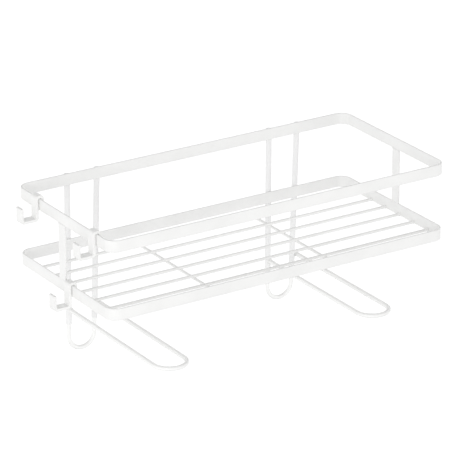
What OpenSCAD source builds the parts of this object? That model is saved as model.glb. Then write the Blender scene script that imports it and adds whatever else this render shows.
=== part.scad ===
// Ledge basket: two flat-bar rails, a wire shelf, rear posts that go down behind a ledge,
// looped feet that rest on it, and hooks that slide along one side.
// The frame is centred on the basket in plan. Z = 0 is the ledge that the feet rest on.

/* [Basket] */
// Outer length of both rails, along X
basket_l = 380; // [300:1:480]
// Outer depth of both rails, along Y
basket_d = 176; // [140:1:240]
// Outer radius of the rail corners
corner_r = 12; // [6:0.5:20]
// Height of the flat bar that the rails, straps and hooks are made of
bar_h = 12; // [8:0.5:16]
// Thickness of the rails' flat bar
bar_t = 2; // [1.2:0.1:3]
// Height from the ledge to the top edge of the upper rail
basket_top = 146.5; // [132:0.5:190]
// Height from the lower rail's top edge to the upper rail's
rail_rise = 68; // [45:1:85]

/* [Side straps] */
// Place of the left strap along the side, from mid depth
left_strap_y = 2; // [-10:0.5:10]
// Place of the right strap along the side, from mid depth
right_strap_y = -4; // [-10:0.5:10]

/* [Shelf] */
// Diameter of the wires along the shelf
shelf_wire_d = 3; // [2:0.1:4]
// Distance from the inside of the rail to the middle of the nearest shelf wire
shelf_end_gap = 25.2; // [18:0.1:34]
// Diameter of the two wires under the shelf
cross_wire_d = 3; // [2:0.1:4]
// Distance from the middle to each cross wire
cross_x = 67; // [40:1:120]
// How far a cross wire runs past the outermost shelf wires
cross_over = 3.5; // [1:0.5:5]

/* [Posts] */
// Wall of the rear post tubes
post_wall = 0.7; // [0.5:0.05:1.2]
// Distance from the middle to the centre of each pair of posts, at their tops
pair_x = 116.25; // [80:0.25:125]
// Shift to the right of both pairs' tops
pair_shift = 0.7; // [-2:0.1:2]
// Distance between the tops of a pair of posts
post_gap = 33.5; // [32:0.1:40]
// Angle that each pair's left post leans from upright, in degrees, its foot to the left
lean_l = 0.4; // [0:0.1:1]
// Angle that each pair's right post leans
lean_r = 2.1; // [1:0.1:2.5]
// How far the post tubes reach below the ledge
post_below = 12.5; // [8:0.5:18]
// How far the tubes' closed tops sit below the upper rail's top edge
post_top_drop = 2; // [1:0.5:6]

/* [Drop loops] */
// Diameter of the wire of the drop loops and of the feet
loop_wire_d = 4.5; // [3.5:0.1:6]
// How far the drop loops reach below the ledge
drop_depth = 43; // [38:1:60]
// Length of loop wire inside each tube
loop_insert = 20; // [10:1:30]
// Radial clearance of the loop wire in its tube
tube_clear = 0.05; // [0.02:0.01:0.08]

/* [Feet] */
// Distance from the middle of each foot's left post to the middle of its leg, to the right
foot_in = 0.8; // [0:0.1:2]
// How far each foot's right leg runs past the middle of its post
foot_tail = 2; // [0.5:0.1:4]
// Gap left between the front of the feet and the front of the basket
foot_setback = 0.8; // [0:0.1:20]

/* [Hooks] */
// Width of the hooks' strip, along the rail
hook_w = 10; // [8:0.5:16]
// Thickness of the hooks' strip
hook_t = 3; // [1:0.1:3.5]
// Clearance of a hook on each face of the rail
hook_clear = 0.4; // [0.3:0.05:0.8]
// Clearance of a hook over the rail's top edge
hook_seat = 0.05; // [0.03:0.01:0.1]
// Gap between the tip of a hook's inner lip and the level of the shelf wires' tops
lip_gap = 3; // [1:0.5:4]
// How far a hook hangs below its rail
hook_drop = 11; // [8:0.1:20]
// Distance between the outer faces of a hook's stem and its prong
hook_reach = 16.3; // [10:0.1:25]
// Height of the prong
prong_h = 16; // [10:0.5:22]
// Inner radius of the hook's two lower bends
hook_bend = 1; // [0.5:0.1:2]
// Distance from the back of the basket to the middle of the rear hook
rear_hook_in = 39.7; // [26:0.1:60]
// Distance from the front of the basket to the middle of the front hook
front_hook_in = 29.7; // [26:0.1:60]
// Gap between the lower hook and the left strap
low_hook_gap = 2.4; // [0.4:0.1:30]

/* [Hidden] */
$fn = 64;

lower_top = basket_top - rail_rise;
lower_bottom = lower_top - bar_h;
half_l = basket_l / 2;
half_d = basket_d / 2;

shelf_z = lower_bottom + shelf_wire_d / 2;
shelf_l = basket_l - 2 * bar_t;
shelf_span = basket_d - 2 * bar_t - 2 * shelf_end_gap;
shelf_pitch = shelf_span / 5;
cross_z = lower_bottom - cross_wire_d / 2;
cross_l = shelf_span + shelf_wire_d + 2 * cross_over;

post_bore = loop_wire_d + 2 * tube_clear;
post_d = post_bore + 2 * post_wall;
post_y = half_d + post_d / 2;
post_rise = basket_top - post_top_drop + post_below;
low_l = pair_shift - post_gap / 2 - post_rise * tan(lean_l);
low_r = pair_shift + post_gap / 2 - post_rise * tan(lean_r);

drop_fall = drop_depth - loop_wire_d / 2 - post_below;
drop_r = (low_r - low_l - drop_fall * (tan(lean_r) - tan(lean_l)))
    / (tan(lean_l) - tan(lean_r) + 1 / cos(lean_l) + 1 / cos(lean_r));
leg_l = (drop_fall - drop_r * (1 + sin(lean_l))) / cos(lean_l);
leg_r = (drop_fall - drop_r * (1 - sin(lean_r))) / cos(lean_r);
drop_x = low_l + drop_r * cos(lean_l) - leg_l * sin(lean_l);
drop_z = drop_r + loop_wire_d / 2 - drop_depth;

foot_z = loop_wire_d / 2;
foot_l = low_l + (post_below + foot_z) * tan(lean_l) + foot_in;
foot_r = low_r + (post_below + foot_z) * tan(lean_r)
    + (post_d + loop_wire_d) / 2 / cos(lean_r);
bend_r = (foot_r - foot_l) / 2;
foot_bend_y = foot_setback + loop_wire_d / 2 + bend_r - half_d;

lip_h = bar_h - shelf_wire_d - lip_gap;
rear_hook_y = half_d - rear_hook_in;
front_hook_y = front_hook_in - half_d;
low_hook_y = left_strap_y - bar_h / 2 - low_hook_gap - hook_w / 2;

// ---- shared shapes ----

// Rectangle centred on the origin with true round corners
module round_rect(l, d, r) {
    square([l - 2 * r, d], center = true);
    square([l, d - 2 * r], center = true);
    for (sx = [-1, 1], sy = [-1, 1])
        translate([sx * (l / 2 - r), sy * (d / 2 - r)]) circle(r = r);
}

// Closed loop of flat bar standing on edge, its top edge at z = top
module rail(top) {
    translate([0, 0, top - bar_h])
        linear_extrude(bar_h)
            difference() {
                round_rect(basket_l, basket_d, corner_r);
                round_rect(basket_l - 2 * bar_t, basket_d - 2 * bar_t, corner_r - bar_t);
            }
}

// Upright flat bar between the two rails; side is -1 on the left and 1 on the right
module strap(side, y) {
    x = side * (half_l - bar_t / 2);
    translate([x - bar_t / 2, y - bar_h / 2, lower_top])
        cube([bar_t, bar_h, rail_rise - bar_h]);
}

// Shelf wire i of six, counted from the back
module shelf_wire(i) {
    translate([0, (3.5 - i) * shelf_pitch, shelf_z])
        rotate([0, 90, 0]) cylinder(d = shelf_wire_d, h = shelf_l, center = true);
}

// Wire under the shelf wires, from front to back
module cross_wire(x) {
    translate([x, 0, cross_z])
        rotate([90, 0, 0]) cylinder(d = cross_wire_d, h = cross_l, center = true);
}

// Rear tube with a closed top and a socket for the drop loop below, its lower end at x
module post(x, lean) {
    tube_l = post_rise / cos(lean);
    translate([x, post_y, -post_below])
        rotate([0, lean, 0])
            difference() {
                cylinder(d = post_d, h = tube_l);
                translate([0, 0, -1])
                    cylinder(d = post_bore, h = tube_l - post_wall + 1);
            }
}

// Upright wire U that joins a pair of posts below the ledge, its legs in line with the tubes.
// The bend is a hair thinner than the legs and runs a degree into each of them.
module drop_loop(x) {
    translate([x + drop_x, post_y, drop_z])
        rotate([90, 0, 0]) {
            rotate([0, 0, 179 - lean_l])
                rotate_extrude(angle = 182 + lean_l - lean_r)
                    translate([drop_r, 0]) circle(d = loop_wire_d - 0.04);
            rotate([0, 0, 180 - lean_l])
                translate([drop_r, 0, 0]) rotate([90, 0, 0])
                    cylinder(d = loop_wire_d, h = leg_l + loop_insert);
            rotate([0, 0, -lean_r])
                translate([drop_r, 0, 0]) rotate([-90, 0, 0])
                    cylinder(d = loop_wire_d, h = leg_r + loop_insert);
        }
}

// Level wire leg towards +Y
module foot_leg(x, end_y) {
    translate([x, foot_bend_y, foot_z])
        rotate([-90, 0, 0]) cylinder(d = loop_wire_d, h = end_y - foot_bend_y);
}

// Level wire U that rests on the ledge. Its left leg ends on the front of the left post,
// its right leg runs along the right post's side.
module foot_loop(x) {
    foot_leg(x + foot_l, half_d);
    foot_leg(x + foot_r, post_y + foot_tail);
    translate([x + foot_l + bend_r, foot_bend_y, foot_z])
        rotate([0, 0, 180])
            rotate_extrude(angle = 180)
                translate([bend_r, 0]) circle(d = loop_wire_d);
}

// Quarter ring in the first quadrant, centred on the origin
module quarter_ring(inner, t) {
    intersection() {
        difference() {
            circle(r = inner + t);
            circle(r = inner);
        }
        square(inner + t + 1);
    }
}

// Side view of a hook. x runs outwards from the rail's outer face, y up from its top edge.
module hook_profile() {
    lip_x = -bar_t - hook_clear;
    stem_x = hook_clear;
    prong_x = stem_x + hook_reach;
    floor_y = -bar_h - hook_drop;
    out_r = hook_bend + hook_t;
    translate([lip_x - hook_t, -lip_h]) square([hook_t, lip_h + hook_seat]);
    translate([lip_x, hook_seat]) square([stem_x - lip_x, hook_t]);
    translate([lip_x, hook_seat]) rotate(90) quarter_ring(0, hook_t);
    translate([stem_x, hook_seat]) quarter_ring(0, hook_t);
    translate([stem_x, floor_y + out_r]) square([hook_t, hook_seat - floor_y - out_r]);
    translate([stem_x + out_r, floor_y + out_r]) rotate(180) quarter_ring(hook_bend, hook_t);
    translate([stem_x + out_r, floor_y]) square([hook_reach + hook_t - 2 * out_r, hook_t]);
    translate([prong_x + hook_t - out_r, floor_y + out_r]) rotate(270) quarter_ring(hook_bend, hook_t);
    translate([prong_x, floor_y + out_r]) square([hook_t, prong_h - out_r]);
}

// Hook on the left side of a rail whose top edge is at z = top
module hook(y, top) {
    translate([-half_l, y, top])
        rotate([90, 0, 180])
            linear_extrude(hook_w, center = true) hook_profile();
}

// ---- sub-parts ----

module upper_rail() { color("whitesmoke") rail(basket_top); }
module lower_rail() { color("whitesmoke") rail(lower_top); }
module left_strap() { color("whitesmoke") strap(-1, left_strap_y); }
module right_strap() { color("whitesmoke") strap(1, right_strap_y); }

module shelf_wire_1() { color("white") shelf_wire(1); }
module shelf_wire_2() { color("white") shelf_wire(2); }
module shelf_wire_3() { color("white") shelf_wire(3); }
module shelf_wire_4() { color("white") shelf_wire(4); }
module shelf_wire_5() { color("white") shelf_wire(5); }
module shelf_wire_6() { color("white") shelf_wire(6); }
module left_cross_wire() { color("white") cross_wire(-cross_x); }
module right_cross_wire() { color("white") cross_wire(cross_x); }

module left_outer_post() { color("whitesmoke") post(low_l - pair_x, lean_l); }
module left_inner_post() { color("whitesmoke") post(low_r - pair_x, lean_r); }
module right_inner_post() { color("whitesmoke") post(low_l + pair_x, lean_l); }
module right_outer_post() { color("whitesmoke") post(low_r + pair_x, lean_r); }

module left_drop_loop() { color("gainsboro") drop_loop(-pair_x); }
module right_drop_loop() { color("gainsboro") drop_loop(pair_x); }
module left_foot_loop() { color("gainsboro") foot_loop(-pair_x); }
module right_foot_loop() { color("gainsboro") foot_loop(pair_x); }

module upper_rear_hook() { color("white") hook(rear_hook_y, basket_top); }
module upper_front_hook() { color("white") hook(front_hook_y, basket_top); }
module lower_hook() { color("white") hook(low_hook_y, lower_top); }

upper_rail();
lower_rail();
left_strap();
right_strap();
shelf_wire_1();
shelf_wire_2();
shelf_wire_3();
shelf_wire_4();
shelf_wire_5();
shelf_wire_6();
left_cross_wire();
right_cross_wire();
left_outer_post();
left_inner_post();
right_inner_post();
right_outer_post();
left_drop_loop();
right_drop_loop();
left_foot_loop();
right_foot_loop();
upper_rear_hook();
upper_front_hook();
lower_hook();
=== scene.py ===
"""Looks for an over-ledge wire basket: powder-coated flat bar, wire and tube, on a light table."""

import math

import bmesh
import bpy
from mathutils import Matrix, Vector


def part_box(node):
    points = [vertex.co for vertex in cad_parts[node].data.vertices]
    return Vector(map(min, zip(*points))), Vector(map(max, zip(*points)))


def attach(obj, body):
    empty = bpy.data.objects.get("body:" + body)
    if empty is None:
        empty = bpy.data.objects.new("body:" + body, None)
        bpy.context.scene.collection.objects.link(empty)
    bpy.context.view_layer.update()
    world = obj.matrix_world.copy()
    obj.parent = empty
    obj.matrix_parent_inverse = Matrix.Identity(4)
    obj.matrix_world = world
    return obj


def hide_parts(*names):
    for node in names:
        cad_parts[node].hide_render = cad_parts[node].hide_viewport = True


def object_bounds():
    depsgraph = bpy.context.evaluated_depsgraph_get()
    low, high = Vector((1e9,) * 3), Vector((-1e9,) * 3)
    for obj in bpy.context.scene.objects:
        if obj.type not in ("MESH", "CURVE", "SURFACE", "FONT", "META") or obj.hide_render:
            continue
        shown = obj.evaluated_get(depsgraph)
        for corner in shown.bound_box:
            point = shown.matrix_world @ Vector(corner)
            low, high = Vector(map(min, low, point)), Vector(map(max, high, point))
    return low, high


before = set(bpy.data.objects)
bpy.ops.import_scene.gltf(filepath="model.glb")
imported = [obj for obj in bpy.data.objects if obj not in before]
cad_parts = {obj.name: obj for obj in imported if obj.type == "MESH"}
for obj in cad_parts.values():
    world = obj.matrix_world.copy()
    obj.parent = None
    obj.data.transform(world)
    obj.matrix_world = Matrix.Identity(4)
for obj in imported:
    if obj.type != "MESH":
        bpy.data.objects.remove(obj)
CAD_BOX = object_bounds()

MM = 0.001

# ---- the frame's nodes, by kind ----
RAILS = ("upper_rail", "lower_rail")
STRAPS = ("left_strap", "right_strap")
POSTS = ("left_outer_post", "left_inner_post", "right_inner_post", "right_outer_post")
FEET = ("left_foot_loop", "right_foot_loop")
SHELF_WIRES = tuple(f"shelf_wire_{i}" for i in range(1, 7))
CROSS_WIRES = ("left_cross_wire", "right_cross_wire")
HOOKS = ("upper_rear_hook", "upper_front_hook", "lower_hook")

# ---- sizes shared with the solids, mm ----
BAR_T = 2.0          # flat bar of the rails and straps
CORNER_R = 12.0      # outer corner radius of the rails
HOOK_T = 3.0         # hook strip
LIP_H = 9.05         # hook lip, from its tip to the top of the fold
PRONG_H = 16.0       # hook prong, from the underside of the hook
RAIL_GAP = 2.8       # room between a hook's lip and its stem
OVER_R = 3.3         # outer radius of the folds over the rail
UNDER_R = 1.0        # inner radius of the two lower folds
POST_R = 3.0         # tubes of the posts
LOOP_WIRE_R = 2.25   # drop loops and feet
SHELF_WIRE_R = 1.5   # shelf and cross wires

# ---- finish of the metal, mm ----
BAR_EDGE_R = 0.85    # rolled edge of the flat bar under its coat
STRIP_EDGE_R = 0.55  # edge of the hook strip

# ---- welds, mm; a half size is given across, across and along ----
POST_RUN_HALF = (1.0, 1.0, 5.0)    # run down a post's side on a rail
POST_RUN_OUT = 0.72                # its place out from the post's middle, as a share of POST_R
POST_RUN_BACK = 0.5                # its place behind the rail's back face
LEG_COLLAR_R = 0.8                 # bead round a foot's left leg
LEG_SPOT_HALF = (0.9, 1.9, 0.9)    # one of the two spots beside a foot's right leg
LEG_SPOT_RISE = 1.5                # how far they lie above and below the leg's middle
WIRE_COLLAR_R = 0.55               # bead round a shelf wire's end
WIRE_COLLAR_OUT = 0.15             # its place in from the wire's end
WIRE_SPOT_HALF = (1.35, 1.35, 0.6)  # fused spot where a cross wire passes under a shelf wire
SINK = 0.1                         # how deep a foot's welds are sunk into the metal
RIPPLE = 0.07                      # ripple of a bead, as a share of its thickness
RIPPLE_STEP = 1.3                  # distance between ripples

# ---- how finely round shapes are divided ----
CORNER_STEPS = 14    # a rail's corner
FOLD_STEPS = 6       # a fold of the hook strip
EDGE_STEPS = 3       # a rounded edge
RUN_STEPS = (12, 40)     # a weld run, round it and along it
COLLAR_STEPS = (10, 36)  # a weld collar, round its bead and round the wire
SHARP_DEG = 60       # an edge that turns by more than this is rounded
SAME_SPOT = 1e-6     # points closer than this are at one place, m

# ---- powder coat ----
DRIFT_MM = 45        # slow drift of tone over a bar
PATCH_MM = 7         # patches of more and less gloss

# ---- studio ----
WALL_LIGHT = 1.17    # strength of the room's walls
CEILING_LIGHT = 0.25  # strength straight overhead and underfoot
TABLE_HALF = 6       # half the light table's side, m
TABLE_DROP = 0.0002  # room between the object and the light table, m

# ---- camera ----
VIEW_TURN_DEG = -32.45       # azimuth of the view
VIEW_RISE_DEG = 21.92        # height of the view
VIEW_ROLL_DEG = -0.14
VIEW_DISTANCE = 3.33         # m
VIEW_SIDE = -0.00308         # shift to the right, m
VIEW_UP = -0.05424           # shift upwards, m
VIEW_CENTRE = (0, 0, 0.1465)  # m
SENSOR_W = 36
FOCAL_SHARE = 3460 / 460     # focal length as a share of the image's width


# ---------------------------------------------------------------- small tools

def srgb(code):
    """Linear colour of an sRGB hex value."""
    parts = [int(code[i:i + 2], 16) / 255 for i in (1, 3, 5)]
    lin = [c / 12.92 if c <= 0.04045 else ((c + 0.055) / 1.055) ** 2.4 for c in parts]
    return (*lin, 1.0)


def add_node(tree, kind, settings=(), links=()):
    """Adds a node. Settings are (name, value) for an attribute or an input; links are (input, socket)."""
    node = tree.nodes.new(kind)
    for key, value in settings:
        if isinstance(key, str) and hasattr(node, key):
            setattr(node, key, value)
        else:
            node.inputs[key].default_value = value
    for key, socket in links:
        tree.links.new(node.inputs[key], socket)
    return node


def box_mm(node):
    """A node's lowest and highest corners, mm."""
    return [Vector(corner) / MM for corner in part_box(node)]


def place_object(name, data):
    """Puts new data in the scene as an object at the origin."""
    obj = bpy.data.objects.new(name, data)
    bpy.context.collection.objects.link(obj)
    return obj


def make_piece(bm, name, material, body="basket", replaced=()):
    """Turns a bmesh into an object at the origin that rides on a body."""
    bmesh.ops.remove_doubles(bm, verts=bm.verts, dist=1e-7)
    bmesh.ops.recalc_face_normals(bm, faces=bm.faces)
    mesh = bpy.data.meshes.new(name)
    bm.to_mesh(mesh)
    bm.free()
    mesh.shade_smooth()
    obj = place_object(name, mesh)
    mesh.materials.append(material)
    even = obj.modifiers.new("even shading on flats", "WEIGHTED_NORMAL")
    even.weight = 100
    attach(obj, body)
    if replaced:
        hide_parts(*replaced)


def sharp_edges(bm):
    """The edges where two faces turn by more than SHARP_DEG."""
    return [e for e in bm.edges if len(e.link_faces) == 2
            and math.degrees(e.calc_face_angle(0)) > SHARP_DEG]


def round_edges(bm, edges, radius_mm, steps=EDGE_STEPS):
    """Rounds edges to a radius."""
    bmesh.ops.bevel(bm, geom=edges, offset=radius_mm * MM, offset_type="OFFSET", affect="EDGES",
                    segments=steps, profile=0.5, material=-1, clamp_overlap=True)


# ---------------------------------------------------------------- powder coat

def powder_coat(name, base, shade, roughness, peel_mm, peel_depth_mm):
    """Baked polyester powder coat: satin, with a faint orange peel and slightly uneven thickness."""
    mat = bpy.data.materials.new(name)
    mat.use_nodes = True
    tree = mat.node_tree
    tree.nodes.clear()
    place = add_node(tree, "ShaderNodeTexCoord").outputs["Object"]
    peel = add_node(tree, "ShaderNodeTexNoise",
                    [("Scale", 1 / (peel_mm * MM)), ("Detail", 2.0), ("Roughness", 0.45)],
                    [("Vector", place)])
    drift = add_node(tree, "ShaderNodeTexNoise",
                     [("Scale", 1 / (DRIFT_MM * MM)), ("Detail", 3.0), ("Roughness", 0.55)],
                     [("Vector", place)])
    patch = add_node(tree, "ShaderNodeTexNoise",
                     [("Scale", 1 / (PATCH_MM * MM)), ("Detail", 4.0), ("Roughness", 0.6)],
                     [("Vector", place)])
    tint = add_node(tree, "ShaderNodeMapRange",
                    [("From Min", 0.35), ("From Max", 0.7)],
                    [("Value", drift.outputs["Fac"])])
    colour = add_node(tree, "ShaderNodeMix",
                      [("data_type", "RGBA"), (6, srgb(base)), (7, srgb(shade))],
                      [(0, tint.outputs["Result"])])
    gloss = add_node(tree, "ShaderNodeMapRange",
                     [("From Min", 0.3), ("From Max", 0.7),
                      ("To Min", roughness - 0.06), ("To Max", roughness + 0.08)],
                     [("Value", patch.outputs["Fac"])])
    bump = add_node(tree, "ShaderNodeBump",
                    [("Strength", 0.6), ("Distance", peel_depth_mm * MM)],
                    [("Height", peel.outputs["Fac"])])
    shader = add_node(tree, "ShaderNodeBsdfPrincipled",
                      [("IOR", 1.5)],
                      [("Base Color", colour.outputs[2]), ("Roughness", gloss.outputs["Result"]),
                       ("Normal", bump.outputs["Normal"])])
    add_node(tree, "ShaderNodeOutputMaterial", (), [("Surface", shader.outputs["BSDF"])])
    return mat


# Satin white on hot-rolled flat bar: broad faces show a slow drift of tone and a fine orange peel.
BAR_COAT = powder_coat("satin white powder coat on flat bar", "#F6F6F5", "#F0F0EF", 0.42, 1.6, 0.02)
# The same powder on drawn wire, where it flows smoother round the small radius. Its colour is painted a
# shade lighter than on the bar, as painted light that brightens the wires.
WIRE_COAT_PAINTED_LIGHT = powder_coat("satin white powder coat on drawn wire, painted lighter", "#FAFAF9", "#F6F6F5", 0.38, 1.1, 0.012)
# On the welded tube of the posts its colour is painted a touch greyer, as painted shade on the posts.
TUBE_COAT_PAINTED_SHADE = powder_coat("satin white powder coat on tube, painted greyer as shade", "#F4F4F4", "#EEEEEE", 0.4, 1.3, 0.015)
# On the hooks' strip it looks a touch thicker, with a slightly broader and deeper peel than on the tube.
HOOK_COAT = powder_coat("satin white powder coat on hook strip", "#F7F7F6", "#F2F2F1", 0.4, 1.4, 0.02)
# Over the weld beads it is duller and rougher, and the bead's own grain shows through it.
WELD_COAT = powder_coat("powder-coated weld bead", "#F3F3F2", "#ECECEB", 0.46, 0.7, 0.05)


# ---------------------------------------------------------------- flat bar and strip

def bar_loop(node):
    """A rail: one flat bar bent on edge into a closed loop, all four long edges softly rounded."""
    lo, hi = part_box(node)
    bm = bmesh.new()
    corners = [bm.verts.new((x, y, lo[2])) for x, y in
               ((lo[0], lo[1]), (hi[0], lo[1]), (hi[0], hi[1]), (lo[0], hi[1]))]
    bm.faces.new(corners)
    bmesh.ops.bevel(bm, geom=corners, offset=CORNER_R * MM, offset_type="OFFSET", affect="VERTICES",
                    segments=CORNER_STEPS, profile=0.5, material=-1)
    ring = bmesh.ops.inset_region(bm, faces=bm.faces[:], thickness=BAR_T * MM,
                                  use_even_offset=True, use_boundary=True)["faces"]
    middle = [f for f in bm.faces if f not in ring]
    bmesh.ops.delete(bm, geom=middle, context="FACES")
    grown = bmesh.ops.extrude_face_region(bm, geom=bm.faces[:])["geom"]
    bmesh.ops.translate(bm, vec=(0, 0, hi[2] - lo[2]),
                        verts=[v for v in grown if isinstance(v, bmesh.types.BMVert)])
    bmesh.ops.recalc_face_normals(bm, faces=bm.faces)
    round_edges(bm, sharp_edges(bm), BAR_EDGE_R)
    make_piece(bm, node + "_bar", BAR_COAT, replaced=[node])


def bar_upright(node):
    """A strap: a short flat bar welded flush between the rails."""
    lo, hi = (Vector(p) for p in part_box(node))
    bm = bmesh.new()
    bmesh.ops.create_cube(bm, size=1)
    bmesh.ops.scale(bm, vec=hi - lo, verts=bm.verts)
    bmesh.ops.translate(bm, vec=(lo + hi) / 2, verts=bm.verts)
    upright = [e for e in bm.edges if e.verts[0].co.xy == e.verts[1].co.xy]
    round_edges(bm, upright, BAR_EDGE_R)
    make_piece(bm, node + "_bar", BAR_COAT, replaced=[node])


def strip_hook(node):
    """A hook: one strip folded over the rail, down its outer face and up again as an open prong."""
    lo, hi = box_mm(node)
    stem_x = hi.x - RAIL_GAP - 2 * HOOK_T
    prong_x = lo.x + HOOK_T
    floor_z = lo.z + HOOK_T
    path = [(hi.x, hi.z - LIP_H), (hi.x, hi.z), (stem_x, hi.z),
            (stem_x, floor_z), (prong_x, floor_z), (prong_x, lo.z + PRONG_H)]
    folds = [OVER_R, OVER_R, UNDER_R, UNDER_R]
    bm = bmesh.new()
    verts = [bm.verts.new((x * MM, lo.y * MM, z * MM)) for x, z in path]
    line = [bm.edges.new(pair) for pair in zip(verts, verts[1:])]
    grown = bmesh.ops.extrude_edge_only(bm, edges=line)["geom"]
    far = [v for v in grown if isinstance(v, bmesh.types.BMVert)]
    bmesh.ops.translate(bm, vec=(0, (hi.y - lo.y) * MM, 0), verts=far)
    for (x, z), r in zip(path[1:-1], folds):
        spot = Vector((x, z)) * MM
        fold = [e for e in bm.edges if len(e.link_faces) == 2
                and (e.verts[0].co.xz - spot).length < SAME_SPOT]
        round_edges(bm, fold, r, FOLD_STEPS)
    bmesh.ops.recalc_face_normals(bm, faces=bm.faces)
    bm.normal_update()
    top = max(bm.faces, key=lambda f: f.calc_center_median().z)
    if top.normal.z < 0:
        bmesh.ops.reverse_faces(bm, faces=bm.faces)
    bmesh.ops.solidify(bm, geom=bm.faces[:], thickness=HOOK_T * MM)
    bmesh.ops.recalc_face_normals(bm, faces=bm.faces)
    round_edges(bm, sharp_edges(bm), STRIP_EDGE_R)
    make_piece(bm, node + "_strip", HOOK_COAT, body=node, replaced=[node])


# ---------------------------------------------------------------- welds

def turned_to(along):
    """The turn that takes Z to the direction that a bead or wire runs in."""
    return Vector((0, 0, 1)).rotation_difference(Vector(along)).to_matrix()


def weld_run(bm, middle, half, along=(0, 0, 1)):
    """A short rippled bead; half gives its half sizes in mm, along is the axis that it runs on."""
    around, lengthways = RUN_STEPS
    made = bmesh.ops.create_uvsphere(bm, u_segments=around, v_segments=lengthways, radius=1)["verts"]
    turn = turned_to(along)
    for v in made:
        swell = 1 + RIPPLE * math.cos(math.tau * v.co.z * half[2] / RIPPLE_STEP)
        v.co = turn @ Vector((v.co.x * half[0] * swell, v.co.y * half[1] * swell, v.co.z * half[2])) * MM
        v.co += Vector(middle) * MM


def weld_collar(bm, middle, along, ring_r, bead_r):
    """A bead all the way round a wire where it meets a face."""
    bead_steps, wire_steps = COLLAR_STEPS
    made = bmesh.ops.create_circle(bm, cap_ends=False, segments=bead_steps, radius=bead_r * MM)["verts"]
    stand = Matrix.Rotation(math.pi / 2, 3, "X")
    for v in made:
        v.co = stand @ v.co + Vector((ring_r * MM, 0, 0))
    edges = list(dict.fromkeys(e for v in made for e in v.link_edges))
    bmesh.ops.spin(bm, geom=made + edges, cent=(0, 0, 0), axis=(0, 0, 1), dvec=(0, 0, 0),
                   angle=math.tau, steps=wire_steps, use_merge=True, use_duplicate=False)
    collar = set()
    reach = list(made)
    while reach:
        v = reach.pop()
        if v not in collar:
            collar.add(v)
            reach += [e.other_vert(v) for e in v.link_edges]
    turn = turned_to(along)
    for v in collar:
        swirl = math.atan2(v.co.y, v.co.x) * ring_r
        v.co.z *= 1 + RIPPLE * math.cos(math.tau * swirl / RIPPLE_STEP)
        v.co = turn @ v.co + Vector(middle) * MM


def post_x(node, z):
    """Middle of a leaning post at height z, mm."""
    lo, hi = box_mm(node)
    share = (z - lo.z) / (hi.z - lo.z)
    return (lo.x + POST_R) * (1 - share) + (hi.x - POST_R) * share


def post_welds():
    """Runs down both sides of each post where it lies against the two rails."""
    bm = bmesh.new()
    for rail in RAILS:
        lo, hi = box_mm(rail)
        z = (lo.z + hi.z) / 2
        for node in POSTS:
            lean = post_x(node, z + 1) - post_x(node, z)  # for each mm of height
            for side in (-1, 1):
                x = post_x(node, z) + side * POST_R * POST_RUN_OUT
                weld_run(bm, (x, hi.y + POST_RUN_BACK, z), POST_RUN_HALF, (lean, 0, 1))
    make_piece(bm, "post_welds", WELD_COAT)


def foot_welds():
    """A collar where each foot's left leg meets its post, and two spots beside its right leg."""
    bm = bmesh.new()
    rail_back = box_mm("lower_rail")[1].y
    for foot in FEET:
        lo, hi = box_mm(foot)
        z = lo.z + LOOP_WIRE_R
        weld_collar(bm, (lo.x + LOOP_WIRE_R, rail_back - SINK, z), (0, 1, 0),
                    LOOP_WIRE_R - SINK, LEG_COLLAR_R)
        for side in (-1, 1):
            weld_run(bm, (hi.x - 2 * LOOP_WIRE_R - SINK, rail_back + POST_R, z + side * LEG_SPOT_RISE),
                     LEG_SPOT_HALF)
    make_piece(bm, "foot_welds", WELD_COAT)


def shelf_welds():
    """Collars where the shelf wires meet the rail, and fused spots where wires cross."""
    bm = bmesh.new()
    crossed = [(lo + hi) / 2 for lo, hi in map(box_mm, CROSS_WIRES)]
    for node in SHELF_WIRES:
        lo, hi = box_mm(node)
        mid = (lo + hi) / 2
        for x, out in ((lo.x, 1), (hi.x, -1)):
            weld_collar(bm, (x + out * WIRE_COLLAR_OUT, mid.y, mid.z), (out, 0, 0),
                        SHELF_WIRE_R, WIRE_COLLAR_R)
        for cross in crossed:
            weld_run(bm, (cross.x, mid.y, lo.z), WIRE_SPOT_HALF)
    make_piece(bm, "shelf_welds", WELD_COAT)


# ---------------------------------------------------------------- the pieces

for rail in RAILS:
    bar_loop(rail)
for strap in STRAPS:
    bar_upright(strap)
post_welds()
foot_welds()
shelf_welds()
for hook in HOOKS:
    strip_hook(hook)

# Every solid gets its coat: the ones that stay in view, and the ones that a piece above replaces.
for node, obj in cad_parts.items():
    if "wire" in node or "loop" in node:
        coat = WIRE_COAT_PAINTED_LIGHT
    elif "post" in node:
        coat = TUBE_COAT_PAINTED_SHADE
    elif "hook" in node:
        coat = HOOK_COAT
    else:
        coat = BAR_COAT
    for slot in obj.material_slots:
        slot.material = coat


# ---------------------------------------------------------------- light table, light and camera

def light_table():
    """A pale floor that glows evenly and throws no light of its own on the object."""
    bm = bmesh.new()
    bmesh.ops.create_grid(bm, x_segments=1, y_segments=1, size=TABLE_HALF)
    bmesh.ops.translate(bm, vec=(0, 0, CAD_BOX[0][2] - TABLE_DROP), verts=bm.verts)
    mesh = bpy.data.meshes.new("light table")
    bm.to_mesh(mesh)
    bm.free()
    obj = place_object("light table", mesh)
    mat = bpy.data.materials.new("opal acrylic, lit from below")
    mat.use_nodes = True
    tree = mat.node_tree
    tree.nodes.clear()
    shader = add_node(tree, "ShaderNodeBsdfPrincipled",
                      [("Base Color", srgb("#A0A0A0")), ("Roughness", 0.8),
                       ("Emission Color", srgb("#FFFFFF")), ("Emission Strength", 0.85)])
    add_node(tree, "ShaderNodeOutputMaterial", (), [("Surface", shader.outputs["BSDF"])])
    mesh.materials.append(mat)
    obj.visible_diffuse = False
    obj.visible_glossy = False


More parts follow.
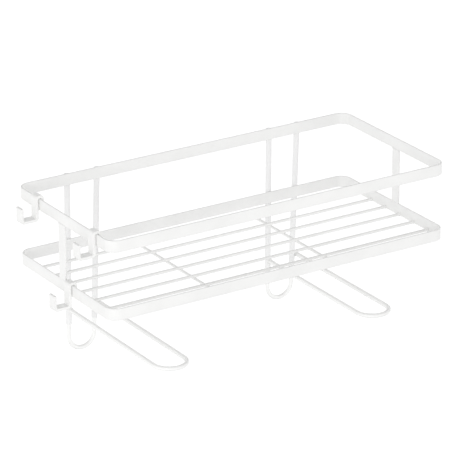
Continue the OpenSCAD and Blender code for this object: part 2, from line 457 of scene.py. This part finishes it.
def soft_light(name, place, aim, size, power):
    """A round softbox; place, aim and size in m, power in W."""
    data = bpy.data.lights.new(name, "AREA")
    data.shape = "DISK"
    data.size = size
    data.energy = power
    obj = place_object(name, data)
    obj.location = place
    obj.rotation_mode = "QUATERNION"
    obj.rotation_quaternion = (Vector(aim) - Vector(place)).to_track_quat("-Z", "Y")


def studio_air():
    """A white room, brightest level with the object, and dimmer overhead and underfoot.

    The camera itself sees it as plain white.
    """
    world = bpy.data.worlds.new("even white room")
    bpy.context.scene.world = world
    world.use_nodes = True
    tree = world.node_tree
    tree.nodes.clear()
    way = add_node(tree, "ShaderNodeTexCoord").outputs["Generated"]
    height = add_node(tree, "ShaderNodeSeparateXYZ", (), [("Vector", way)]).outputs["Z"]
    squared = add_node(tree, "ShaderNodeMath", [("operation", "MULTIPLY")], [(0, height), (1, height)])
    walls = add_node(tree, "ShaderNodeMapRange", [("To Min", WALL_LIGHT), ("To Max", CEILING_LIGHT)],
                     [("Value", squared.outputs["Value"])])
    ray = add_node(tree, "ShaderNodeLightPath")
    seen = add_node(tree, "ShaderNodeMix", [("data_type", "FLOAT"), (3, 1.0)],
                    [(0, ray.outputs["Is Camera Ray"]), (2, walls.outputs["Result"])])
    air = add_node(tree, "ShaderNodeBackground", [("Color", srgb("#FFFFFF"))],
                   [("Strength", seen.outputs[0])])
    add_node(tree, "ShaderNodeOutputWorld", (), [("Surface", air.outputs["Background"])])


def camera():
    """A long lens, placed to the left of the object's front and a little above it."""
    az, el, roll = (math.radians(v) for v in (VIEW_TURN_DEG, VIEW_RISE_DEG, VIEW_ROLL_DEG))
    back = Vector((math.sin(az) * math.cos(el), -math.cos(az) * math.cos(el), math.sin(el)))
    right = Vector((math.cos(az), math.sin(az), 0))
    up = back.cross(right)
    across = right * math.cos(roll) + up * math.sin(roll)
    upward = up * math.cos(roll) - right * math.sin(roll)
    data = bpy.data.cameras.new("camera")
    data.sensor_width = SENSOR_W
    data.lens = FOCAL_SHARE * SENSOR_W
    data.clip_end = 30
    obj = place_object("camera", data)
    spot = back * VIEW_DISTANCE + across * VIEW_SIDE + upward * VIEW_UP + Vector(VIEW_CENTRE)
    turn = Matrix((across, upward, back)).transposed().to_4x4()
    obj.matrix_world = Matrix.Translation(spot) @ turn
    bpy.context.scene.camera = obj


light_table()
studio_air()
soft_light("key softbox", place=(-1.45, -1.38, 0.18), aim=(0, 0, 0.08), size=1.0, power=7)
camera()
bpy.context.scene.view_settings.view_transform = "Standard"
